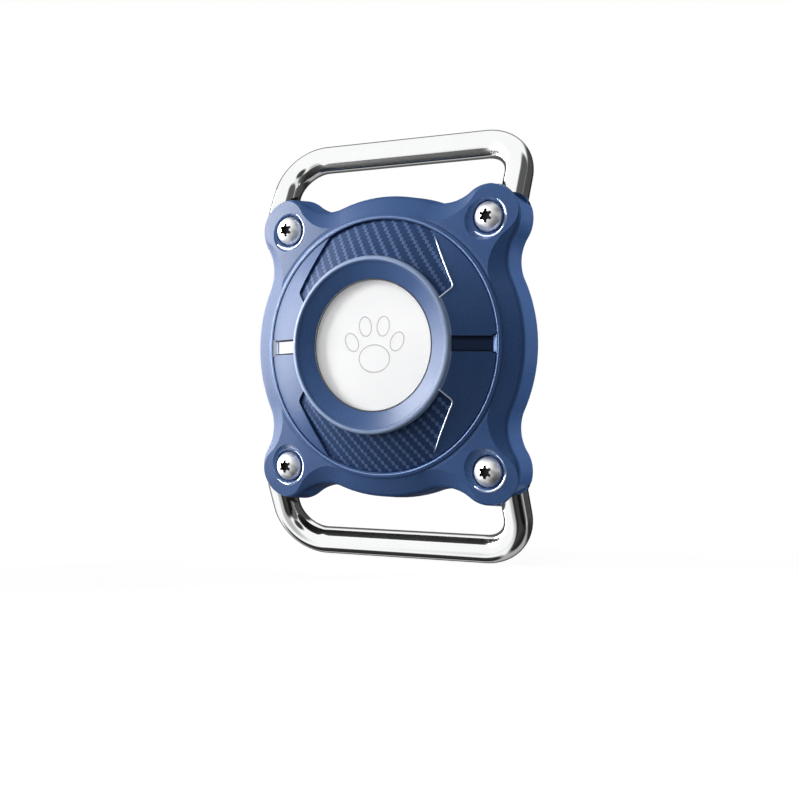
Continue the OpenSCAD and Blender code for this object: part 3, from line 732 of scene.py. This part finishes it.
def woven_skin(name, turn):
    """A relief skin over one inlay; turn is 1 for the upper one and -1 for the lower."""
    outline, inner, margin, probes = inlay_outline(0.1), LIP_R + 0.1, 0.002, 400
    foot_side = (outline[0] + (outline[1] - outline[0]) * (i / probes) for i in range(probes + 1))
    first = next(math.atan2(p.y, p.x) for p in foot_side if p.length > inner) + margin
    steps_round, steps_out, skin_lift, rim_dip = 380, 62, 0.012, 0.08
    points, faces = [], []
    for i in range(steps_round + 1):
        angle = first + (math.pi - 2 * first) * i / steps_round
        mirrored = min(angle, math.pi - angle)
        outer = max(outline_radius(outline, mirrored), inner + 0.02)
        for j in range(steps_out + 1):
            r = inner + (outer - inner) * j / steps_out
            x, z = turn * r * math.cos(angle), turn * r * math.sin(angle)
            at_rim = i in (0, steps_round) or j in (0, steps_out)
            lift = -rim_dip if at_rim else skin_lift + cell_relief(x, z)
            points.append((x, dial_depth(r) + PANEL_FRONT_D - lift + DEPTH_TO_Y, z))
    for i in range(steps_round):
        for j in range(steps_out):
            a = i * (steps_out + 1) + j
            faces.append((a, a + steps_out + 1, a + steps_out + 2, a + 1))
    skin = new_object(name, points, faces, textured_panel, smooth=True)
    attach(skin, "case_front")
    print(name, len(faces), "faces")


woven_skin("upper_woven_skin", 1)
woven_skin("lower_woven_skin", -1)

# %% [markdown]
# ## Rounded lips round the inlays
# Where the dial breaks off into the recess, the moulding has a fine rounded lip that
# catches a bright line of light on its right-hand side. A bevel on the solid could give
# that, but the solids stay as they are, so a thin tube lies half sunk along the outline, on
# the right-hand side only. Its pale metal finish makes the line partly a painted highlight.

# %% Lips
def tube(name, path, radius, sides, closed, material, body):
    """A round tube along a path of points in millimetres."""
    path = [Vector(p) for p in path]
    count = len(path)
    points, faces = [], []
    normal = None
    for i, p in enumerate(path):
        before = path[i - 1] if closed or i else p
        after = path[(i + 1) % count] if closed or i + 1 < count else p
        along = (after - before).normalized()
        if normal is None:
            normal = along.orthogonal().normalized()
        normal = (normal - along * normal.dot(along)).normalized()
        side = along.cross(normal)
        for k in range(sides):
            a = 2 * math.pi * k / sides
            points.append(p + (normal * math.cos(a) + side * math.sin(a)) * radius)
    rings = count if closed else count - 1
    for i in range(rings):
        for k in range(sides):
            a, b = i * sides, ((i + 1) % count) * sides
            faces.append((a + k, a + (k + 1) % sides, b + (k + 1) % sides, b + k))
    if not closed:
        faces.append(tuple(range(sides))[::-1])
        faces.append(tuple((count - 1) * sides + k for k in range(sides)))
    piece = new_object(name, points, faces, material, smooth=True)
    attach(piece, body)


def inlay_lip(name, turn):
    """The bright lip along the right side of a recess, from the window's lip up to the rail; its pale finish
    is partly a painted highlight.
    """
    half = inlay_outline(0)
    start = next(i for i, p in enumerate(half) if p.length > LIP_R + 0.1)
    crossing = half[start - 1] + (half[start] - half[start - 1]) * 0.35
    end = next(i for i, p in enumerate(half) if p.length > DIAL_R - 0.05)
    coarse = [crossing] + half[start:end + 1]
    fine = [a.lerp(b, k / 8) for a, b in zip(coarse, coarse[1:]) for k in range(8)]
    path = [(p.x, dial_depth(p.length) + 0.04 + DEPTH_TO_Y, turn * p.y) for p in fine]
    # Pale metal on the lit side only: partly a painted highlight.
    tube(name, path, 0.17, 10, False, bright_edge, "case_front")
    print(name, len(path), "points")


inlay_lip("upper_inlay_lip", 1)
inlay_lip("lower_inlay_lip", -1)

# %% [markdown]
# ## The rail's bright crest
# The crest of the rail catches the light in a thin line that runs all the way round. It is
# a bead, half sunk in the plastic: the same tube again, along a circle.

# %% Rail crest
CREST_R, CREST_D = 21.75, 2.88


def level_circle(r, depth, count):
    """Points of a circle round the window's axis, in millimetres."""
    return [(r * math.cos(a), depth + DEPTH_TO_Y, r * math.sin(a))
            for a in (2 * math.pi * i / count for i in range(count))]


circle = level_circle(CREST_R, CREST_D, 240)
tube("rail_crest", circle, 0.16, 10, True, rail_edge, "case_front")
print("rail_crest points:", len(circle))

# %% [markdown]
# ## Painted shade and ends of the slots
# Along both sides of a slot the photo shows a dark line, where the side wall lies in shade.
# The side walls alone come out too pale for it, so a thin dark tube lies against the top of
# each: painted shade. At its outer end a slot rises in a ramp, which is pale on the left and
# dark on the right, as the light falls. A small wedge over the ramp paints that: a pale metal
# finish on the left and a dark one on the right.

# %% Painted shade along the slots
SHADE_LINE_Z, SHADE_LINE_D, SHADE_LINE_R = 1.19, 0.12, 0.13
for side, side_name in ((-1, "left"), (1, "right")):
    for edge, edge_name in ((1, "upper"), (-1, "lower")):
        # A dark tube along each side of a slot: painted shade.
        shade_line = [(side * r, dial_depth(r) + SHADE_LINE_D + DEPTH_TO_Y, edge * SHADE_LINE_Z)
                for r in (15.0, 17.0, 19.0, 20.6)]
        tube(f"{side_name}_slot_{edge_name}_seam", shade_line, SHADE_LINE_R, 8, False, painted_slot_shade,
             "case_front")
print("slot seams: 4")


# %% Ends of the slots
def slot_end(name, side):
    """A small ramp at the outer end of a slot, pale on the left and dark on the right: painted light and
    shade.
    """
    inner, outer, floor_d = 20.66, 21.38, 3.45
    inner_half, outer_half, slope = 1.28, 1.5, math.radians(20)
    top = dial_depth(outer) + 0.02
    shape = ((outer, top, outer_half), (inner, top + (outer - inner) * math.tan(slope), inner_half),
             (inner, floor_d, inner_half), (outer, floor_d, outer_half))
    points = [(side * r, depth + DEPTH_TO_Y, edge * half) for edge in (-1, 1) for r, depth, half in shape]
    faces = [(0, 1, 2, 3), (7, 6, 5, 4)] + [(i, i + 4, (i + 1) % 4 + 4, (i + 1) % 4) for i in range(4)]
    # Pale metal on the left, dark metal on the right: painted light and shade.
    ramp = new_object(name, points, faces, rail_edge if side > 0 else bright_edge)
    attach(ramp, "case_front")


slot_end("left_slot_end", -1)
slot_end("right_slot_end", 1)
print("slot ends: 2")

# %% [markdown]
# ## Highlights on the countersinks
# On a countersink's slope a narrow band is bright only at the lower right, where it faces
# the light, so it is a crescent. Here it is a painted highlight: a pale metal band laid on
# the slope. The slope isn't a plain cone there, and a formula would leave the band in the
# air or buried. So we drop a point onto the real surface for each place of the band.

# %% Painted highlights on the countersinks
def crescent(name, x, z, first, last):
    """A thin band on the slope of a countersink between two angles, in degrees: a painted highlight."""
    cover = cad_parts["front_cover"]
    into = cover.matrix_world.inverted()
    backwards = into.to_3x3() @ Vector((0, 1, 0))
    middle_r, half_w, lift, sunk, before_case = 3.2, 0.24, 0.03, -0.05, -30
    points, faces, steps = [], [], 40
    for i in range(steps + 1):
        part = i / steps
        a = math.radians(first + (last - first) * part)
        half = half_w * math.sin(math.pi * part) ** 0.5
        for r, above in ((middle_r - half, sunk), (middle_r - half * 0.8, lift),
                         (middle_r + half * 0.8, lift), (middle_r + half, sunk)):
            px, pz = x + r * math.cos(a), z + r * math.sin(a)
            _, surface, *_ = cover.ray_cast(into @ (Vector((px, before_case, pz)) / 1000), backwards)
            points.append((px, (cover.matrix_world @ surface).y * 1000 - above, pz))
    for i in range(steps):
        for j in range(3):
            a = 4 * i + j
            faces.append((a, a + 4, a + 5, a + 1))
    # Pale metal only where the light falls: a painted highlight.
    band = new_object(name, points, faces, bright_edge, smooth=True)
    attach(band, "case_front")


for (vertical, horizontal), (x, z) in screw_at.items():
    crescent(f"countersink_highlight_{vertical}_{horizontal}", x, z, 62, -135)
print("countersink rims: 4")

# %% [markdown]
# ## The window's seal
# Where the funnel meets the clear window, a thin black line runs all the way round. It is
# the lip of the sealing ring, so it is a real ring here, which sits in the corner.

# %% Seal lip
SEAL_LIP_R, SEAL_LIP_D = 11.02, 0.13
circle = level_circle(SEAL_LIP_R, SEAL_LIP_D, 120)
tube("window_seal_lip", circle, 0.13, 10, True, black_rubber, "case_front")
print("window_seal_lip points:", len(circle))

# %% [markdown]
# ## Threads on the screws
# The screws are M2.5, with a pitch of 0.45 mm, and their solids have smooth shanks. A
# ridge that winds round the shank shows as soon as the cover is lifted. It rides on its
# screw, so that it turns with it.

# %% Threads
PITCH, SHANK_R, SEAT_D, SHANK_END_D = 0.45, 1.2, 5.1, 11.1


def thread(name, x, z):
    """A ridge that winds round a screw's shank and fades out at both ends."""
    top, bottom = SEAT_D + DEPTH_TO_Y + 0.35, SHANK_END_D + DEPTH_TO_Y - 0.3
    inner, outer, half_w, per_turn = SHANK_R - 0.03, SHANK_R + 0.04, 0.2, 24
    count = int((bottom - top) / PITCH * per_turn)
    points, faces = [], []
    for i in range(count + 1):
        a = 2 * math.pi * i / per_turn
        y = top + PITCH * i / per_turn
        fade = min(1, i / per_turn, (count - i) / per_turn)
        for r, dy in ((inner, -half_w), (inner + (outer - inner) * fade, 0), (inner, half_w)):
            points.append((x + r * math.cos(a), y + dy, z + r * math.sin(a)))
    for i in range(count):
        a = 3 * i
        faces += [(a, a + 3, a + 4, a + 1), (a + 1, a + 4, a + 5, a + 2), (a + 2, a + 5, a + 3, a)]
    return new_object(name, points, faces, screw_steel)


for (vertical, horizontal), (x, z) in screw_at.items():
    ridge = thread(f"thread_{vertical}_{horizontal}", x, z)
    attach(ridge, f"screw_{vertical}_{horizontal}_body")
print("threads: 4")

# %% [markdown]
# ## Sockets of the screws
# The six-lobed sockets look black in the photo: they are deep, and their depth lies in
# shade. A thin dark lining along the socket's own outline paints that shade, and it turns
# with the screw.

# %% Painted shade in the sockets
CORE_R, LOBE_R, LOBE_AT = 0.782, 0.27, 0.88
HEAD_D, DOME_R, SOCKET_D = 3, 2.75, 4.2


def socket_radius(angle):
    """The outline of the socket: a round core with six round lobes."""
    off = angle % (math.pi / 3) - math.pi / 6
    reach = LOBE_R ** 2 - (LOBE_AT * math.sin(off)) ** 2
    return max(CORE_R, LOBE_AT * math.cos(off) + math.sqrt(reach)) if reach > 0 else CORE_R


def socket_shade_cup(name, x, z):
    """A thin dark cup that lines a screw's socket, from its floor up to the domed head: painted shade."""
    floor_y, wall, stands_in, count = SOCKET_D + DEPTH_TO_Y - 0.02, 0.015, 0.03, 144
    points, faces = [(x, floor_y, z)], []
    for i in range(count):
        a = 2 * math.pi * i / count
        r = socket_radius(a) - wall
        dome_y = HEAD_D + DEPTH_TO_Y + DOME_R - math.sqrt(DOME_R ** 2 - r * r)
        for y in (floor_y, dome_y + stands_in):
            points.append((x + r * math.cos(a), y, z + r * math.sin(a)))
    for i in range(count):
        a, b = 1 + 2 * i, 1 + 2 * ((i + 1) % count)
        faces += [(0, a, b), (a, a + 1, b + 1, b)]
    return new_object(name, points, faces, painted_socket_shade)


for (vertical, horizontal), (x, z) in screw_at.items():
    shade_cup = socket_shade_cup(f"socket_{vertical}_{horizontal}", x, z)
    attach(shade_cup, f"screw_{vertical}_{horizontal}_body")
print("socket linings: 4")

# %% [markdown]
# ## A mark on the tag
# The tag's white face carries a mark in pale grey: a plain paw of four toes and a pad. An
# image on the shell would blur close up, so each line is a thin flat ring of ink that lies
# a hair in front of the face.

# %% Paw mark
TAG_FACE_D, INK_LIFT, INK_HALF_W = 1.15, 0.015, 0.14
INK_Y = TAG_FACE_D - INK_LIFT + DEPTH_TO_Y
ink, *_ = new_finish("grey_ink", (0.62, 0.62, 0.63), (0.56, 0.56, 0.57), 0.4, 0.5)


def ink_ring(points, faces, x, z, wide, high, lean):
    """Adds one flat oval ring, in millimetres, to the lists."""
    start, count = len(points), 48
    for i in range(count):
        a = 2 * math.pi * i / count
        for grow in (-INK_HALF_W, INK_HALF_W):
            u, v = (wide + grow) * math.cos(a), (high + grow) * math.sin(a)
            points.append((x + u * math.cos(lean) - v * math.sin(lean), INK_Y,
                           z + u * math.sin(lean) + v * math.cos(lean)))
    for i in range(count):
        a, b = start + 2 * i, start + 2 * ((i + 1) % count)
        faces.append((a, b, b + 1, a + 1))


points, faces = [], []
ink_ring(points, faces, 0, -2.2, 2.9, 2.3, 0)
for x, z, lean in ((-4.3, 0.6, 0.5), (-1.7, 3.2, 0.15), (1.7, 3.2, -0.15), (4.3, 0.6, -0.5)):
    ink_ring(points, faces, x, z, 1.15, 1.65, lean)
mark = new_object("tag_mark", points, faces, ink)
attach(mark, "tag")
print("mark faces:", len(faces))
